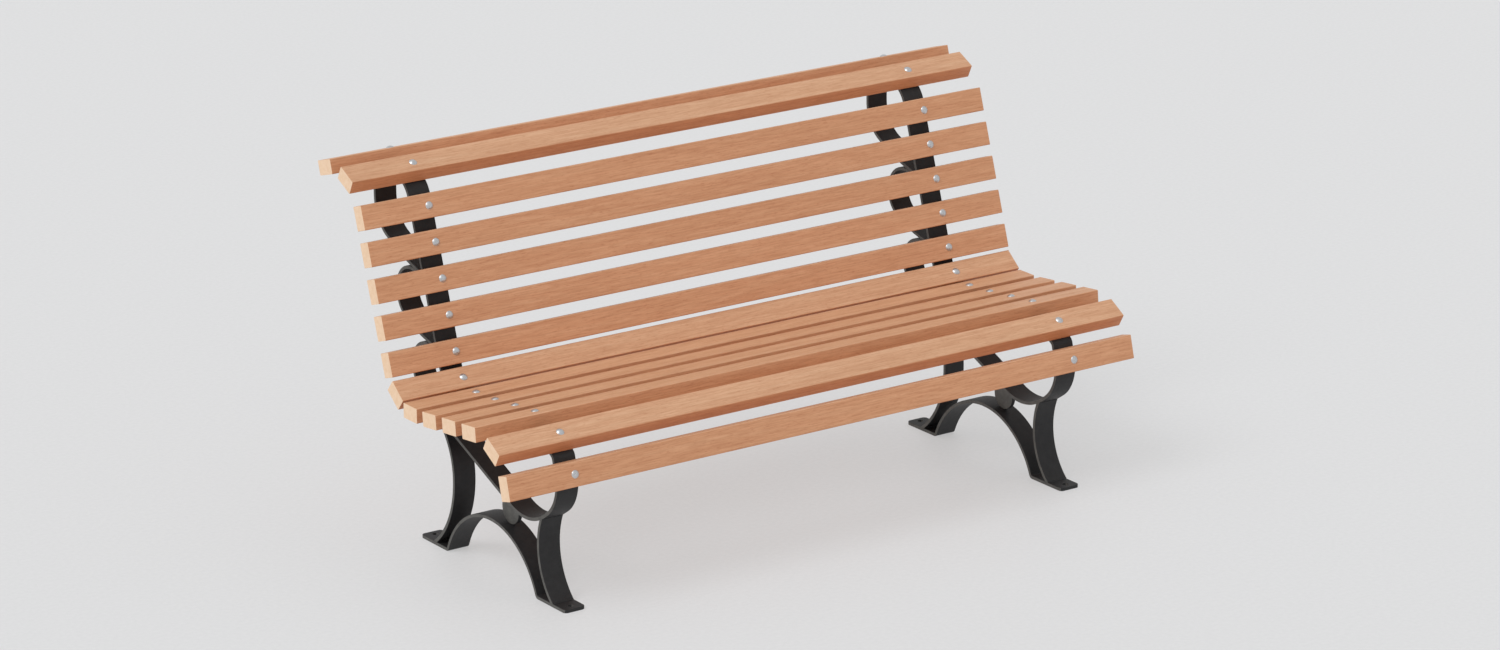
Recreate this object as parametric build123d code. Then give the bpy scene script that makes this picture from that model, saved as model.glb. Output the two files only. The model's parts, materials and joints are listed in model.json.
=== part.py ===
from build123d import *
import os
from math import atan2, cos, degrees, radians, sin, tan

# Park bench with a slatted seat and back on two frames of bent flat steel bar.
# Millimetres, +Z up, floor at Z = 0, front of the seat towards -Y, long axis along X.
# Frame outlines are drawn as (y, z) points and extruded along X.
# Slopes are in degrees from +Y towards +Z.

# Overall
BENCH_LENGTH = 1750
FRAME_X = 700

# Wooden slats
SLAT_WIDTH = 57
SLAT_THICKNESS = 35
SLAT_EDGE_R = 2
SLAT_PITCH = 84.4

# Flat steel bar
BAR_WIDTH = 56
BAR_T = 8

# Beds: the straight stretches of bar the slats lie on, as (y, z, slope) at the middle
# of a slat, followed from the front of the seat over the top of the back.
APRON_BED = (-279.0, 318.0, 75.5)
NOSE_BED = (-236.3, 379.6, 30.3)
SEAT_BED = (-153.8, 395.4, -6.0)
LEVEL_BED = (98.5, 373.2, 0.0)
HIP_BED = (173.4, 402.1, 39.0)
BACK_BED = (213.9, 472.2, 72.2)
CREST_FRONT_BED = (366.3, 859.9, 26.5)
CREST_REAR_BED = (442.5, 868.9, -16.2)
SEAT_SLATS = 3
BACK_SLATS = 5

# Radii of the bends between beds, on the slat side of the bar
NOSE_BEND = 20
SEAT_FRONT_BEND = 38
SEAT_BEND = 200
HIP_LOWER_BEND = 30
HIP_UPPER_BEND = 16
CREST_BENDS = (68, 76, 46)

# Bar behind the back: it drops straight down, then runs forward and down as a return
# that bends gently at its knee and is welded to the back of the post at its foot
DROP_Y = 483.5
DROP_Z = 800
DROP_BEND = 97
RETURN_RISE = 23.4
KNEE_BEND = 200
TOP_KNEE = (345.5, 662.2)
MIDDLE_KNEE = (296.0, 498.2)
TOP_FOOT_SLAT = 2
MIDDLE_FOOT_SLAT = 0
FOOT_ABOVE_BOLT = 10.5
FOOT_DEPTH = 1

# Two round hooks behind the post, each hung under the return above it
HOOK_R = 67
MIDDLE_HOOK_Y = 394.5
MIDDLE_HOOK_START = 25
LOWER_HOOK_Y = 331
LOWER_HOOK_START = 16

# Lowest bar: from the lower hook over its knee, down the diagonal and round the front loop
LOWER_KNEE = (221.0, 318.5)
LOWER_RISE = 29.5
DIAGONAL_RISE = 22.8
LOOP_POINT = (-229.8, 207.1)
LOOP_SLOPE = -33.7
LOOP_FRONT_SLOPE = 92
LOOP_FRONT_R = 100
LOOP_BOTTOM_R = 150
BUTT_Z = 306

# Legs
FRONT_LEG_CENTRE = (-363.6, 129.2)
FRONT_LEG_R = 171
FRONT_LEG_FROM = -48.8
FRONT_LEG_TO = 25.0
REAR_LEG_APEX = (155.3, 184.0)
REAR_LEG_LOWER_R = 221
REAR_LEG_LOWER_SWEEP = 56.2
REAR_LEG_UPPER_R = 174
REAR_LEG_UPPER_SWEEP = 37.7
REAR_LEG_TAIL = 44.7

# Base bar: two foot pads joined by an arch
ARCH_CENTRE = (4.4, -69.2)
ARCH_R = 200
PAD_REACH = 308.5
PAD_CORNER_R = 10
PAD_BEND = 4
ANCHOR_REACH = 289
ANCHOR_HOLE_R = 7

# Round gusset between arch and diagonal
GUSSET_CENTRE = (-46.5, 168.2)
GUSSET_R = 35.1
GUSSET_T = 10

# M8 dome-head bolts, each with a washer and a lock nut under the bar
BOLT_R = 4
BOLT_HOLE_R = 4.5
HEAD_R = 9.75
HEAD_HEIGHT = 4.5
WASHER_R = 8
WASHER_T = 1.6
NUT_FLATS = 13
NUT_HEIGHT = 6.5
NUT_COLLAR_R = 5.6
NUT_COLLAR_HEIGHT = 1.8
BOLT_PROUD = 1.5

# A point this close to a line lies on it
ON_LINE = 0.01


def step_along(bed, distance):
    """The bed moved along its own slope."""
    y, z, slope = bed
    angle = radians(slope)
    return (y + distance * cos(angle), z + distance * sin(angle), slope)


def step_off(bed, distance):
    """The bed moved square to its slope, towards the slat when the distance is positive."""
    y, z, slope = bed
    angle = radians(slope)
    return (y - distance * sin(angle), z + distance * cos(angle), slope)


def meet(bed_a, bed_b):
    """Point where the lines of two beds cross."""
    ya, za, slope_a = bed_a
    yb, zb, slope_b = bed_b
    a, b = radians(slope_a), radians(slope_b)
    distance = ((yb - ya) * sin(b) - (zb - za) * cos(b)) / sin(b - a)
    return (ya + distance * cos(a), za + distance * sin(a))


def line_through(start, end):
    """Bed whose line runs through two points."""
    slope = degrees(atan2(end[1] - start[1], end[0] - start[0]))
    return (start[0], start[1], slope)


def at_y(bed, y):
    """Point of the bed's line at the given y."""
    return (y, bed[1] + (y - bed[0]) * tan(radians(bed[2])))


def seat_beds():
    """Beds of the evenly spaced, sloping part of the seat, front to rear."""
    return [step_along(SEAT_BED, i * SLAT_PITCH) for i in range(SEAT_SLATS)]


def back_beds():
    """Beds of the flat part of the back, bottom to top."""
    return [step_along(BACK_BED, i * SLAT_PITCH) for i in range(BACK_SLATS)]


def named_beds():
    """Every slat's name with the bed it lies on, front to rear."""
    beds = {"apron_slat": APRON_BED, "nose_slat": NOSE_BED}
    for number, bed in enumerate(seat_beds(), start=1):
        beds[f"seat_slat_{number}"] = bed
    beds[f"seat_slat_{SEAT_SLATS + 1}"] = LEVEL_BED
    beds["hip_slat"] = HIP_BED
    for number, bed in enumerate(back_beds(), start=1):
        beds[f"back_slat_{number}"] = bed
    beds["crest_front_slat"] = CREST_FRONT_BED
    beds["crest_rear_slat"] = CREST_REAR_BED
    return beds


def foot(slat_index):
    """Foot of a return: just inside the back of the post, above one back slat's bolt."""
    bed = step_along(back_beds()[slat_index], FOOT_ABOVE_BOLT)
    return step_off(bed, FOOT_DEPTH - BAR_T)[:2]


def apron_butt():
    """Lower end of the apron bar, where the front loop is welded to it."""
    return meet(APRON_BED, (0, BUTT_Z, 0))


def parallel(points, radii, gap):
    """The filleted line moved to its right by a gap: its new corners and radii."""
    headings = [line_through(a, b)[2] for a, b in zip(points, points[1:])]
    moved = [step_off((*point, heading), -gap) for point, heading in zip(points, headings)]
    last = step_off((*points[-1], headings[-1]), -gap)
    corners = [meet(a, b) for a, b in zip(moved, moved[1:])]
    turns = [sin(radians(b - a)) for a, b in zip(headings, headings[1:])]
    new_radii = [r + (gap if turn > 0 else -gap) for r, turn in zip(radii, turns)]
    return [moved[0][:2], *corners, last[:2]], new_radii


def bar_between(left, right):
    """Full-width bar between two edge lines drawn in (y, z)."""
    ends = [Line(left @ 0, right @ 0), Line(left @ 1, right @ 1)]
    face = make_face([*left.edges(), *right.edges(), *ends])
    return extrude(Plane.YZ * face, BAR_WIDTH / 2, both=True)


def strip(points, radii):
    """Flat bar whose left-hand face follows the filleted line through the points."""
    inner_points, inner_radii = parallel(points, radii, BAR_T)
    left = FilletPolyline(*points, radius=radii)
    right = FilletPolyline(*inner_points, radius=inner_radii)
    return bar_between(left, right)


def bed_plane(bed):
    """Plane on the bar's face at the middle of a bed, facing the slat."""
    y, z, slope = bed
    angle = radians(slope)
    return Plane(origin=(0, y, z), x_dir=(1, 0, 0), z_dir=(0, -sin(angle), cos(angle)))


def at_every_bed(piece):
    """Copies of one piece, one on each bed of a frame."""
    return [bed_plane(bed) * piece for bed in named_beds().values()]


def seat_back_bar():
    """One bar from the apron over the seat, up the back, over the crest and back to the post."""
    drop = (DROP_Y, DROP_Z, -90)
    top_return = (*TOP_KNEE, RETURN_RISE)
    line = [APRON_BED, NOSE_BED, SEAT_BED, LEVEL_BED, HIP_BED, BACK_BED]
    line += [CREST_FRONT_BED, CREST_REAR_BED, drop]
    corners = [meet(a, b) for a, b in zip(line, line[1:])]
    radii = [NOSE_BEND, SEAT_FRONT_BEND, SEAT_BEND, HIP_LOWER_BEND, HIP_UPPER_BEND]
    front = strip([apron_butt(), *corners, drop[:2]], [*radii, *CREST_BENDS])
    rear_points = [drop[:2], meet(drop, top_return), TOP_KNEE, foot(TOP_FOOT_SLAT)]
    rear = strip(rear_points, [DROP_BEND, KNEE_BEND])
    return front + rear - at_every_bed(Cylinder(BOLT_HOLE_R, 3 * BAR_T))


def hook_corners(above, start, rear_y, below):
    """Corners of a hook hung under the line above, turning down into the line below."""
    return [step_along(above, start)[:2], at_y(above, rear_y), at_y(below, rear_y)]


def middle_hook(post):
    """Hook under the top return, ending in a return of its own."""
    above = line_through(foot(TOP_FOOT_SLAT), TOP_KNEE)
    below = (*MIDDLE_KNEE, RETURN_RISE)
    points = hook_corners(above, MIDDLE_HOOK_START, MIDDLE_HOOK_Y, below)
    points += [MIDDLE_KNEE, foot(MIDDLE_FOOT_SLAT)]
    return strip(points, [HOOK_R, HOOK_R, KNEE_BEND]) - post


def loop_bar(post):
    """Lower hook, diagonal and the round loop that rises to meet the apron."""
    above = line_through(foot(MIDDLE_FOOT_SLAT), MIDDLE_KNEE)
    below = (*LOWER_KNEE, LOWER_RISE)
    diagonal = (*LOWER_KNEE, DIAGONAL_RISE)
    loop = (*LOOP_POINT, LOOP_SLOPE)
    loop_front = (*apron_butt(), LOOP_FRONT_SLOPE)
    points = hook_corners(above, LOWER_HOOK_START, LOWER_HOOK_Y, below)
    points += [LOWER_KNEE, meet(diagonal, loop), meet(loop, loop_front), apron_butt()]
    radii = [HOOK_R, HOOK_R, KNEE_BEND, LOOP_BOTTOM_R, LOOP_FRONT_R]
    return strip(points, radii) - post


def front_leg(loop, base):
    """Quarter-round leg trimmed to the loop above and the foot pad below."""
    sweep = FRONT_LEG_TO - FRONT_LEG_FROM
    rear = CenterArc(FRONT_LEG_CENTRE, FRONT_LEG_R, FRONT_LEG_FROM, sweep)
    front = CenterArc(FRONT_LEG_CENTRE, FRONT_LEG_R - BAR_T, FRONT_LEG_FROM, sweep)
    return bar_between(front, rear) - loop - base


def rear_leg_edge(inset):
    """One face of the rear leg, an inset behind its front face, from foot pad to diagonal."""
    y, z = REAR_LEG_APEX
    lower_centre = (y + REAR_LEG_LOWER_R, z)
    upper_centre = (y + REAR_LEG_UPPER_R, z)
    foot_angle = 180 + REAR_LEG_LOWER_SWEEP
    lower = CenterArc(lower_centre, REAR_LEG_LOWER_R - inset, foot_angle, -REAR_LEG_LOWER_SWEEP)
    upper = CenterArc(upper_centre, REAR_LEG_UPPER_R - inset, 180, -REAR_LEG_UPPER_SWEEP)
    tail = Line(upper @ 1, upper @ 1 + REAR_LEG_TAIL * (upper % 1))
    return Wire([*lower.edges(), *upper.edges(), *tail.edges()])


def rear_leg(loop, base):
    """Bowed leg trimmed to the diagonal above and the foot pad below."""
    return bar_between(rear_leg_edge(0), rear_leg_edge(BAR_T)) - loop - base


def arch_corners(profile, height):
    """Corners between arch and pads at one height above the floor."""
    corners = profile.vertices().filter_by(lambda v: abs(v.X - ARCH_CENTRE[0]) < ANCHOR_REACH)
    return corners.filter_by_position(Axis.Y, height - ON_LINE, height + ON_LINE)


def base_bar():
    """Two foot pads joined by an arch, with one anchor hole in each pad."""
    middle = ARCH_CENTRE[0]
    on_floor = (Align.CENTER, Align.MIN)
    above_floor = Pos(middle, 0) * Rectangle(2 * PAD_REACH, ARCH_R, align=on_floor)
    pads = Pos(middle, 0) * Rectangle(2 * PAD_REACH, BAR_T, align=on_floor)
    arch = Pos(*ARCH_CENTRE) * Circle(ARCH_R + BAR_T) & above_floor
    profile = arch + pads - Pos(*ARCH_CENTRE) * Circle(ARCH_R)
    profile = fillet(arch_corners(profile, 0), PAD_BEND + BAR_T)
    profile = fillet(arch_corners(profile, BAR_T), PAD_BEND)
    bar = extrude(Plane.YZ * profile, BAR_WIDTH / 2, both=True)
    bar = fillet(bar.edges().filter_by(Axis.Z), PAD_CORNER_R)
    for reach in (-ANCHOR_REACH, ANCHOR_REACH):
        bar -= Pos(0, middle + reach, 0) * Cylinder(ANCHOR_HOLE_R, 3 * BAR_T)
    return bar


def round_gusset(loop, base):
    """Upright steel disc on the frame's middle plane, trimmed to the arch and the diagonal."""
    disc = Plane.YZ * Pos(*GUSSET_CENTRE) * Cylinder(GUSSET_R, GUSSET_T)
    return disc - loop - base


def slat(bed):
    """Wooden slat lying on its bed, long edges rounded, drilled for two bolts."""
    align = (Align.CENTER, Align.CENTER, Align.MIN)
    board = Box(BENCH_LENGTH, SLAT_WIDTH, SLAT_THICKNESS, align=align)
    board = fillet(board.edges().filter_by(Axis.X), SLAT_EDGE_R)
    for x in (-FRAME_X, FRAME_X):
        board -= Pos(x, 0, 0) * Cylinder(BOLT_HOLE_R, 3 * SLAT_THICKNESS)
    return bed_plane(bed) * board


def bolt():
    """Dome-head bolt standing in the slat's plane, head on the slat's upper face."""
    below = BAR_T + WASHER_T + NUT_HEIGHT + BOLT_PROUD
    align = (Align.CENTER, Align.CENTER, Align.MIN)
    shank = Pos(0, 0, -below) * Cylinder(BOLT_R, below + SLAT_THICKNESS, align=align)
    dome_r = (HEAD_HEIGHT**2 + HEAD_R**2) / (2 * HEAD_HEIGHT)
    dome = Pos(0, 0, HEAD_HEIGHT - dome_r) * Sphere(dome_r)
    head = dome & Cylinder(HEAD_R, HEAD_HEIGHT, align=align)
    return shank + Pos(0, 0, SLAT_THICKNESS) * head


def washer():
    """Flat washer under the bar."""
    align = (Align.CENTER, Align.CENTER, Align.MAX)
    ring = Cylinder(WASHER_R, WASHER_T, align=align) - Cylinder(BOLT_R, 3 * WASHER_T)
    return Pos(0, 0, -BAR_T) * ring


def nut():
    """Hexagon lock nut under the washer, with a round collar at its free end."""
    flats = RegularPolygon(NUT_FLATS / 2, 6, major_radius=False)
    hexagon = extrude(flats, -(NUT_HEIGHT - NUT_COLLAR_HEIGHT))
    align = (Align.CENTER, Align.CENTER, Align.MAX)
    collar = Cylinder(NUT_COLLAR_R, NUT_HEIGHT, align=align)
    body = hexagon + collar - Cylinder(BOLT_R, 3 * NUT_HEIGHT)
    return Pos(0, 0, -BAR_T - WASHER_T) * body


def set_of(piece):
    """One piece at every bed of a frame, as a group of solids."""
    return Compound(at_every_bed(piece))


def frame():
    """Every piece of one frame, on its own middle plane."""
    post = seat_back_bar()
    loop = loop_bar(post)
    base = base_bar()
    return {
        "seat_back_bar": post,
        "middle_hook": middle_hook(post),
        "loop_bar": loop,
        "front_leg": front_leg(loop, base),
        "rear_leg": rear_leg(loop, base),
        "base_bar": base,
        "round_gusset": round_gusset(loop, base),
        "bolts": set_of(bolt()),
        "washers": set_of(washer()),
        "lock_nuts": set_of(nut()),
    }


def bench():
    """Every part by name, the whole bench centred over Y = 0."""
    parts = {name: slat(bed) for name, bed in named_beds().items()}
    for side, x in (("left", -FRAME_X), ("right", FRAME_X)):
        for name, piece in frame().items():
            parts[f"{side}_{name}"] = Pos(x, 0, 0) * piece
    middle = Compound(list(parts.values())).bounding_box().center().Y
    return {name: Pos(0, -middle, 0) * piece for name, piece in parts.items()}


os.makedirs("parts", exist_ok=True)
for name, piece in bench().items():
    export_step(piece, f"parts/{name}.step")
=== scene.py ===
import json
from math import cos, pi, radians, sin

import bmesh
import bpy
from mathutils import Matrix, Vector
from mathutils.bvhtree import BVHTree

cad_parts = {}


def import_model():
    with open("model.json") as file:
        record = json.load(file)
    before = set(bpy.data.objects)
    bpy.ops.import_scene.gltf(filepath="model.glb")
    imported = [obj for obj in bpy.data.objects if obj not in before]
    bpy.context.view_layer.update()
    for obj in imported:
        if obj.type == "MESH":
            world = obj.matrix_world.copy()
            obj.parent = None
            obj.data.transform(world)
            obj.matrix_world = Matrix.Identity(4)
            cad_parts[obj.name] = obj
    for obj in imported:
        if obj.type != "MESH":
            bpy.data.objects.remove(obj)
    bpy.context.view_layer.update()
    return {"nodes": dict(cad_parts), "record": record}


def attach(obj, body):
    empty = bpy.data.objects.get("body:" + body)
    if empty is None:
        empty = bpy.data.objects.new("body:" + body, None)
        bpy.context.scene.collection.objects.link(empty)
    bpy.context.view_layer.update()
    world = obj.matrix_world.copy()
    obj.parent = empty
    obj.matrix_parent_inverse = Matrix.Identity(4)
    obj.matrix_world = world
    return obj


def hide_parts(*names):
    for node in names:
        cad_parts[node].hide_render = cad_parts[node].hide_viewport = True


# Camera: looks at TARGET from the front left of the bench (metres, degrees)
TARGET = Vector((0.0676, 0.0333, 0.4197))
AZIMUTH = -34.63
ELEVATION = 17.65
ROLL = -0.35
DISTANCE = 12.253
LENS = 125.15
SENSOR = 36
CLIP_END = 200

# Studio: floor, even sky and one soft key light from the left
WHITE = (1.0, 1.0, 1.0, 1.0)
FLOOR_HALF = 60
FLOOR_GLOW = 0.43
SKY_STRENGTH = 0.70
KEY_DIRECTION = (-0.9, -0.12, 1.1)
KEY_STRENGTH = 1.20
KEY_SPREAD = radians(35)

# Easing: radius that each finish's sharp edges are rounded to, and the limits used on the way
EASE_RADIUS = {"wood": 0.0012, "coated_steel": 0.0009, "zinc_steel": 0.0004}
EASE_SEGMENTS = 3
ROUND_PROFILE = 0.5
SAME_POINT = 1e-6
FLAT = radians(0.05)
SHARP = radians(40)
SHADING_BREAK = radians(30)

# Weld beads: drawn wherever a corner of one bar lies on another bar
JOINTS = (("front_leg", "loop_bar"), ("front_leg", "base_bar"), ("rear_leg", "loop_bar"),
          ("rear_leg", "base_bar"), ("middle_hook", "seat_back_bar"), ("loop_bar", "middle_hook"))
TOUCH = 0.0003
TOUCH_DIGITS = 4
JOINT_GAP = 0.02
WELD_R = 0.0022
WELD_HALF = 0.0265
WELD_RINGS = 54
WELD_SIDES = 10
WELD_PITCH = 0.0032
WELD_RIPPLE = 0.22
WELD_TIP = 0.1
WELD_TAPER = 8

# Sockets of the Mix node when it mixes colours; their names are shared with its other types
MIX_FACTOR = 0
MIX_A = 6
MIX_B = 7
MIX_RESULT = 2

# A surface faces sideways where its normal's X is longer than this
SIDEWAYS = 0.75
NOISE_ROUGHNESS = 0.55

# Ramps: stops of (value, colour) or (value, roughness)
WOOD_BANDS = ((0.30, (0.660, 0.318, 0.162)), (0.50, (0.700, 0.352, 0.184)),
              (0.72, (0.735, 0.392, 0.214)))
WOOD_FIBRES = ((0.34, (0.84, 0.76, 0.70)), (0.62, (1.08, 1.10, 1.12)))
WOOD_PORES = ((0.32, (0.74, 0.54, 0.42)), (0.42, (1.0, 1.0, 1.0)))
WOOD_CLOUDS = ((0.30, (0.95, 0.93, 0.90)), (0.70, (1.04, 1.04, 1.04)))
WOOD_ENDS = ((0.32, (0.83, 0.575, 0.375)), (0.64, (0.89, 0.645, 0.450)))
WOOD_ROUGHNESS = ((0.3, 0.62), (0.7, 0.50))
STEEL_FACES = ((0.3, (0.017, 0.017, 0.018)), (0.7, (0.025, 0.025, 0.026)))
# Painted sheen: lighter colour for the powder coat's faces along X
STEEL_PAINTED_SHEEN = ((0.3, (0.082, 0.080, 0.074)), (0.7, (0.120, 0.117, 0.108)))
STEEL_GRAIN = ((0.3, (0.72, 0.72, 0.73)), (0.7, (1.22, 1.22, 1.22)))
STEEL_ROUGHNESS = ((0.3, 0.64), (0.7, 0.50))
ZINC_SPANGLE = ((0.3, (0.50, 0.51, 0.52)), (0.7, (0.70, 0.71, 0.73)))
ZINC_ROUGHNESS = ((0.3, 0.34), (0.7, 0.46))
FLOOR_MOTTLE = ((0.3, (0.275, 0.278, 0.285)), (0.7, (0.305, 0.308, 0.315)))

# Painted shade: a tint that darkens and reddens faces turned down and sideways and makes faces turned
# up paler and cooler, from faces turned down (0) to faces turned up (1)
WOOD_PAINTED_SHADE = ((0.25, (0.86, 0.68, 0.58)), (0.54, (0.935, 0.895, 0.865)),
                (0.66, (0.96, 0.94, 0.945)), (0.94, (0.93, 1.04, 1.15)))


# ---------- node helpers ----------

def new_material(name):
    """An empty material, its node tree and its shader."""
    material = bpy.data.materials.new(name)
    material.use_nodes = True
    tree = material.node_tree
    return material, tree, tree.nodes["Principled BSDF"]


def add(tree, kind, **values):
    """A new node with some of its sockets set."""
    node = tree.nodes.new(kind)
    for socket, value in values.items():
        node.inputs[socket].default_value = value
    return node


def noise(tree, scale, detail):
    """Noise on the object's own coordinates, which are first scaled along X, Y and Z."""
    coords = tree.nodes.new("ShaderNodeTexCoord")
    mapping = add(tree, "ShaderNodeMapping", Scale=scale)
    texture = add(tree, "ShaderNodeTexNoise", Scale=1.0, Detail=detail, Roughness=NOISE_ROUGHNESS)
    tree.links.new(coords.outputs["Object"], mapping.inputs["Vector"])
    tree.links.new(mapping.outputs["Vector"], texture.inputs["Vector"])
    return texture.outputs["Fac"]


def even_noise(tree, scale, detail):
    """Noise of one scale in every direction."""
    return noise(tree, (scale, scale, scale), detail)


def color_ramp(tree, value, stops):
    """A colour for every value."""
    node = tree.nodes.new("ShaderNodeValToRGB")
    elements = node.color_ramp.elements
    for element, (position, color) in zip(elements, (stops[0], stops[-1])):
        element.position = position
        element.color = (*color, 1)
    for position, color in stops[1:-1]:
        element = elements.new(position)
        element.color = (*color, 1)
    tree.links.new(value, node.inputs["Fac"])
    return node.outputs["Color"]


def roughness_ramp(tree, value, stops):
    """A roughness for every value."""
    return color_ramp(tree, value, [(position, (level, level, level)) for position, level in stops])


def color_mixer(tree, mode, first, second):
    """A node that mixes two colours, with its factor still to be set."""
    node = tree.nodes.new("ShaderNodeMix")
    node.data_type = "RGBA"
    node.blend_type = mode
    tree.links.new(first, node.inputs[MIX_A])
    tree.links.new(second, node.inputs[MIX_B])
    return node


def tinted(tree, color, tint, amount):
    """A colour multiplied by a tint, more or less strongly."""
    mixer = color_mixer(tree, "MULTIPLY", color, tint)
    mixer.inputs[MIX_FACTOR].default_value = amount
    return mixer.outputs[MIX_RESULT]


def masked(tree, mask, outside, inside):
    """One colour where the mask is zero and another where it is one."""
    mixer = color_mixer(tree, "MIX", outside, inside)
    tree.links.new(mask, mixer.inputs[MIX_FACTOR])
    return mixer.outputs[MIX_RESULT]


def calculate(tree, operation, value, operand=0.0):
    """A value after one step of arithmetic."""
    node = tree.nodes.new("ShaderNodeMath")
    node.operation = operation
    tree.links.new(value, node.inputs[0])
    node.inputs[1].default_value = operand
    return node.outputs[0]


def facing(tree, axis):
    """How far the surface faces along one axis, from -1 to 1."""
    geometry = tree.nodes.new("ShaderNodeNewGeometry")
    split = tree.nodes.new("ShaderNodeSeparateXYZ")
    tree.links.new(geometry.outputs["True Normal"], split.inputs[0])
    return split.outputs[axis]


def upward(tree):
    """How far the surface faces up, from 0 for straight down to 1 for straight up."""
    half = calculate(tree, "MULTIPLY", facing(tree, "Z"), 0.5)
    return calculate(tree, "ADD", half, 0.5)


def side_mask(tree):
    """One where the surface faces along the bench (+X or -X), zero elsewhere."""
    sideways = calculate(tree, "ABSOLUTE", facing(tree, "X"))
    return calculate(tree, "GREATER_THAN", sideways, SIDEWAYS)


def bump(tree, height, strength, distance):
    """A node that turns a height into a bumped normal."""
    node = add(tree, "ShaderNodeBump", Strength=strength, Distance=distance)
    tree.links.new(height, node.inputs["Height"])
    return node


def connect(tree, shader, color, roughness, bumps):
    """Colour, roughness and bumps into the shader."""
    tree.links.new(color, shader.inputs["Base Color"])
    tree.links.new(roughness, shader.inputs["Roughness"])
    tree.links.new(bumps.outputs["Normal"], shader.inputs["Normal"])


# ---------- materials ----------

def wood_material():
    """Stained wood: fine grain along X, dark pores, painted shade on the undersides and fronts, paler
    cooler tops, pale ends.
    """
    material, tree, shader = new_material("stained_wood")
    bands = noise(tree, scale=(4, 96, 96), detail=5)
    fibres = noise(tree, scale=(18, 420, 420), detail=5)
    pores = noise(tree, scale=(70, 560, 560), detail=2)
    clouds = noise(tree, scale=(0.8, 9, 9), detail=2)
    rings = noise(tree, scale=(4, 110, 110), detail=4)

    color = color_ramp(tree, bands, WOOD_BANDS)
    color = tinted(tree, color, color_ramp(tree, fibres, WOOD_FIBRES), amount=0.75)
    color = tinted(tree, color, color_ramp(tree, pores, WOOD_PORES), amount=0.5)
    color = tinted(tree, color, color_ramp(tree, clouds, WOOD_CLOUDS), amount=0.8)
    # Painted shade by facing: undersides darker and redder, tops paler and cooler
    color = tinted(tree, color, color_ramp(tree, upward(tree), WOOD_PAINTED_SHADE), amount=1.0)
    color = masked(tree, side_mask(tree), color, color_ramp(tree, rings, WOOD_ENDS))

    raised_fibres = bump(tree, fibres, strength=0.3, distance=0.0003)
    open_pores = bump(tree, pores, strength=0.25, distance=0.0002)
    tree.links.new(raised_fibres.outputs["Normal"], open_pores.inputs["Normal"])
    connect(tree, shader, color, roughness_ramp(tree, fibres, WOOD_ROUGHNESS), open_pores)
    shader.inputs["Specular IOR Level"].default_value = 0.5
    return material


def steel_material():
    """Near-black powder coat with a fine grain, and a painted sheen: faces along X, the cut side edges
    among them, are coloured lighter.
    """
    material, tree, shader = new_material("powder_coat")
    grain = even_noise(tree, scale=900, detail=3)
    mottle = even_noise(tree, scale=60, detail=4)

    faces = color_ramp(tree, mottle, STEEL_FACES)
    # Painted sheen: faces along X get the lighter colour
    painted_sheen = color_ramp(tree, mottle, STEEL_PAINTED_SHEEN)
    color = masked(tree, side_mask(tree), faces, painted_sheen)
    color = tinted(tree, color, color_ramp(tree, grain, STEEL_GRAIN), amount=0.8)

    texture = bump(tree, grain, strength=0.35, distance=0.00025)
    connect(tree, shader, color, roughness_ramp(tree, grain, STEEL_ROUGHNESS), texture)
    shader.inputs["Specular IOR Level"].default_value = 0.32
    return material


def zinc_material():
    """Dull zinc plate with faint spangle."""
    material, tree, shader = new_material("zinc_plate")
    spangle = even_noise(tree, scale=420, detail=3)
    color = color_ramp(tree, spangle, ZINC_SPANGLE)
    texture = bump(tree, spangle, strength=0.15, distance=0.0002)
    connect(tree, shader, color, roughness_ramp(tree, spangle, ZINC_ROUGHNESS), texture)
    shader.inputs["Metallic"].default_value = 1.0
    return material


def floor_material():
    """Plain pale floor, partly lit from within so that the shadows on it stay weak."""
    material, tree, shader = new_material("studio_floor")
    mottle = even_noise(tree, scale=90, detail=4)
    tree.links.new(color_ramp(tree, mottle, FLOOR_MOTTLE), shader.inputs["Base Color"])
    shader.inputs["Emission Color"].default_value = WHITE
    shader.inputs["Emission Strength"].default_value = FLOOR_GLOW
    shader.inputs["Roughness"].default_value = 0.6
    shader.inputs["Specular IOR Level"].default_value = 0.15
    return material


# ---------- pieces ----------

def place(name, data):
    """A new object in the scene."""
    thing = bpy.data.objects.new(name, data)
    bpy.context.scene.collection.objects.link(thing)
    return thing


def shade_smooth(solid):
    """Smooth shading on every face."""
    for face in solid.faces:
        face.smooth = True


def eased(node, name, radius):
    """A copy of a CAD node whose sharp edges are rounded."""
    mesh = node.data.copy()
    mesh.name = name
    solid = bmesh.new()
    solid.from_mesh(mesh)
    bmesh.ops.remove_doubles(solid, verts=solid.verts, dist=SAME_POINT)
    bmesh.ops.dissolve_limit(solid, angle_limit=FLAT, verts=solid.verts, edges=solid.edges)
    sharp = [edge for edge in solid.edges if edge.is_manifold and edge.calc_face_angle() > SHARP]
    bmesh.ops.bevel(solid, geom=sharp, offset=radius, offset_type="OFFSET", segments=EASE_SEGMENTS,
                    profile=ROUND_PROFILE, affect="EDGES", clamp_overlap=True)
    shade_smooth(solid)
    solid.to_mesh(mesh)
    solid.free()
    piece = place(name, mesh)
    mesh.set_sharp_from_angle(angle=SHADING_BREAK)
    weighted = piece.modifiers.new("weighted", "WEIGHTED_NORMAL")
    weighted.keep_sharp = True
    return piece


def dress(frame, materials):
    """Every CAD node gets an eased copy with its own finish, standing for it."""
    slots = {part["node"]: part["material_slot"] for part in frame["record"]["subparts"]}
    for node_name, node in frame["nodes"].items():
        slot = slots[node_name]
        piece = eased(node, "look_" + node_name, EASE_RADIUS[slot])
        piece.data.materials.clear()
        piece.data.materials.append(materials[slot])
        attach(piece, "root")
        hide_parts(node_name)


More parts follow.
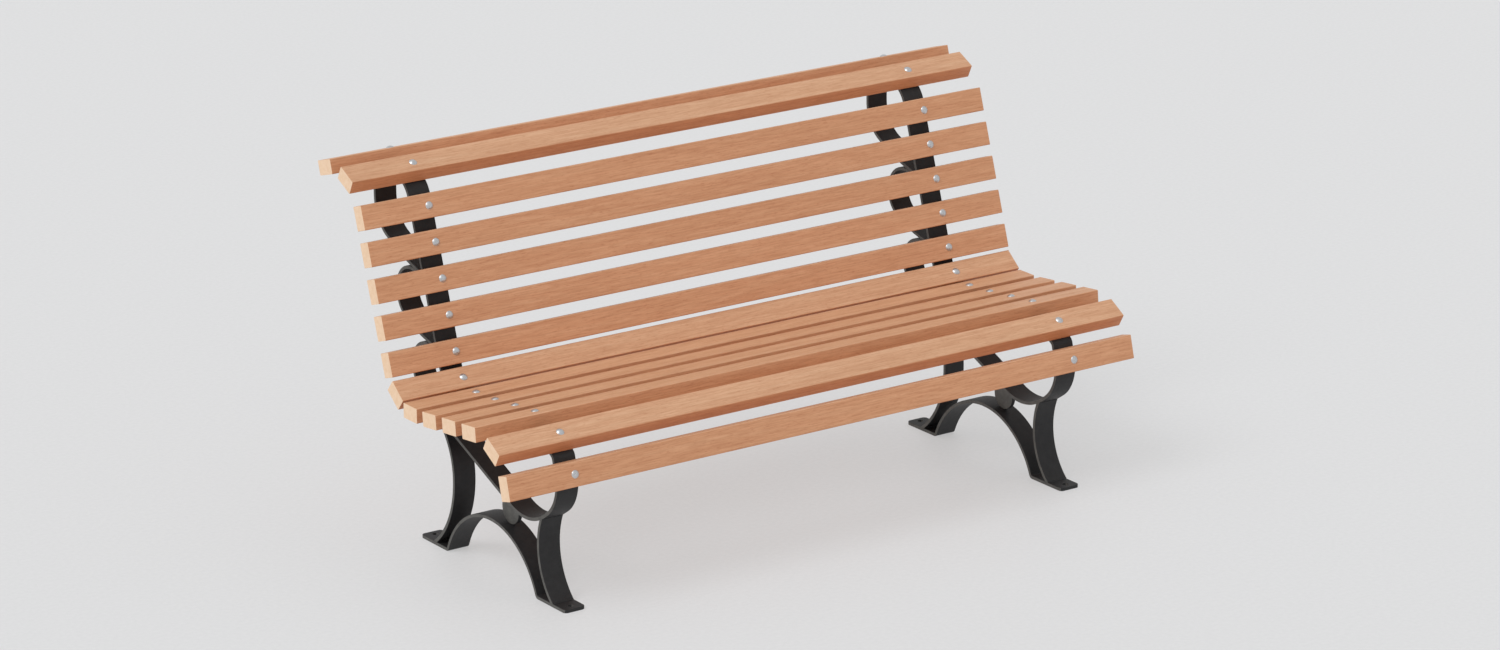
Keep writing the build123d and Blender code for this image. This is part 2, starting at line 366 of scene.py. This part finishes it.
def corners_on(bar, other):
    """Where corners of one bar lie on another: (y, z) points in order."""
    vertices = [vertex.co for vertex in other.data.vertices]
    surface = BVHTree.FromPolygons(vertices, [face.vertices for face in other.data.polygons])
    points = set()
    for vertex in bar.data.vertices:
        distance = surface.find_nearest(vertex.co)[3]
        if distance < TOUCH:
            points.add((round(vertex.co.y, TOUCH_DIGITS), round(vertex.co.z, TOUCH_DIGITS)))
    return sorted(points)


def joint_ends(points):
    """The two ends of every joint in an ordered list of touching points."""
    joints = []
    for point in points:
        near = [joint for joint in joints if (Vector(joint[-1]) - Vector(point)).length < JOINT_GAP]
        if near:
            near[0].append(point)
        else:
            joints.append([point])
    ends = {end for joint in joints for end in (joint[0], joint[-1])}
    return sorted(ends)


def weld_radius(along):
    """Radius of a bead at a distance from its middle: rippled, and tapered to its tips."""
    ripple = 1 + WELD_RIPPLE * abs(sin(pi * along / WELD_PITCH))
    taper = max(WELD_TIP, 1 - (along / WELD_HALF) ** WELD_TAPER)
    return WELD_R * ripple * taper


def weld_bead(name, x, y, z):
    """A bead along X, centred on a point."""
    bead = bmesh.new()
    turns = [2 * pi * side / WELD_SIDES for side in range(WELD_SIDES)]
    rings = []
    for number in range(WELD_RINGS + 1):
        along = -WELD_HALF + 2 * WELD_HALF * number / WELD_RINGS
        radius = weld_radius(along)
        rings.append([bead.verts.new((x + along, y + radius * cos(turn), z + radius * sin(turn)))
                      for turn in turns])
    for ring, following in zip(rings, rings[1:]):
        for side in range(WELD_SIDES):
            after = (side + 1) % WELD_SIDES
            bead.faces.new((ring[side], ring[after], following[after], following[side]))
    bead.faces.new(rings[0])
    bead.faces.new(rings[-1])
    bmesh.ops.recalc_face_normals(bead, faces=bead.faces)
    shade_smooth(bead)
    mesh = bpy.data.meshes.new(name)
    bead.to_mesh(mesh)
    bead.free()
    return place(name, mesh)


def middle_x(node):
    """X of the middle of a CAD node."""
    places = [vertex.co.x for vertex in node.data.vertices]
    return (min(places) + max(places)) / 2


def weld(frame, material):
    """Beads along both edges of every joint between two bars of a frame."""
    nodes = frame["nodes"]
    for side in ("left", "right"):
        for bar, other in JOINTS:
            bar_node = nodes[f"{side}_{bar}"]
            ends = joint_ends(corners_on(bar_node, nodes[f"{side}_{other}"]))
            for number, (y, z) in enumerate(ends, start=1):
                piece = weld_bead(f"weld_{side}_{bar}_{other}_{number}", middle_x(bar_node), y, z)
                piece.data.materials.append(material)
                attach(piece, "root")


# ---------- studio ----------

def lay_floor():
    """A pale floor that reaches far beyond the picture."""
    mesh = bpy.data.meshes.new("studio_floor")
    corners = [(-FLOOR_HALF, -FLOOR_HALF, 0), (FLOOR_HALF, -FLOOR_HALF, 0),
               (FLOOR_HALF, FLOOR_HALF, 0), (-FLOOR_HALF, FLOOR_HALF, 0)]
    mesh.from_pydata(corners, [], [(0, 1, 2, 3)])
    mesh.materials.append(floor_material())
    floor = place("studio_floor", mesh)


def light_sky():
    """Even light from all around."""
    world = bpy.data.worlds.new("studio_sky")
    bpy.context.scene.world = world
    world.use_nodes = True
    background = world.node_tree.nodes["Background"]
    background.inputs["Color"].default_value = WHITE
    background.inputs["Strength"].default_value = SKY_STRENGTH


def light_key():
    """A wide soft sun."""
    light = bpy.data.lights.new("key", "SUN")
    light.energy = KEY_STRENGTH
    light.angle = KEY_SPREAD
    lamp = place("key", light)
    lamp.rotation_euler = Vector(KEY_DIRECTION).to_track_quat("Z", "Y").to_euler()


def aim_camera():
    """A long lens from the front left, a little above the seat."""
    data = bpy.data.cameras.new("camera")
    data.lens = LENS
    data.sensor_width = SENSOR
    data.clip_end = CLIP_END
    eye = place("camera", data)
    turn = (Matrix.Rotation(radians(AZIMUTH), 4, "Z") @ Matrix.Rotation(radians(90 - ELEVATION), 4, "X")
            @ Matrix.Rotation(radians(ROLL), 4, "Z"))
    back = turn @ Vector((0, 0, 1))
    eye.matrix_world = Matrix.Translation(TARGET + DISTANCE * back) @ turn
    bpy.context.scene.camera = eye


def main():
    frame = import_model()
    materials = {"wood": wood_material(), "coated_steel": steel_material(),
                 "zinc_steel": zinc_material()}
    dress(frame, materials)
    weld(frame, materials["coated_steel"])
    lay_floor()
    light_sky()
    light_key()
    aim_camera()
    bpy.context.scene.view_settings.view_transform = "Standard"


main()
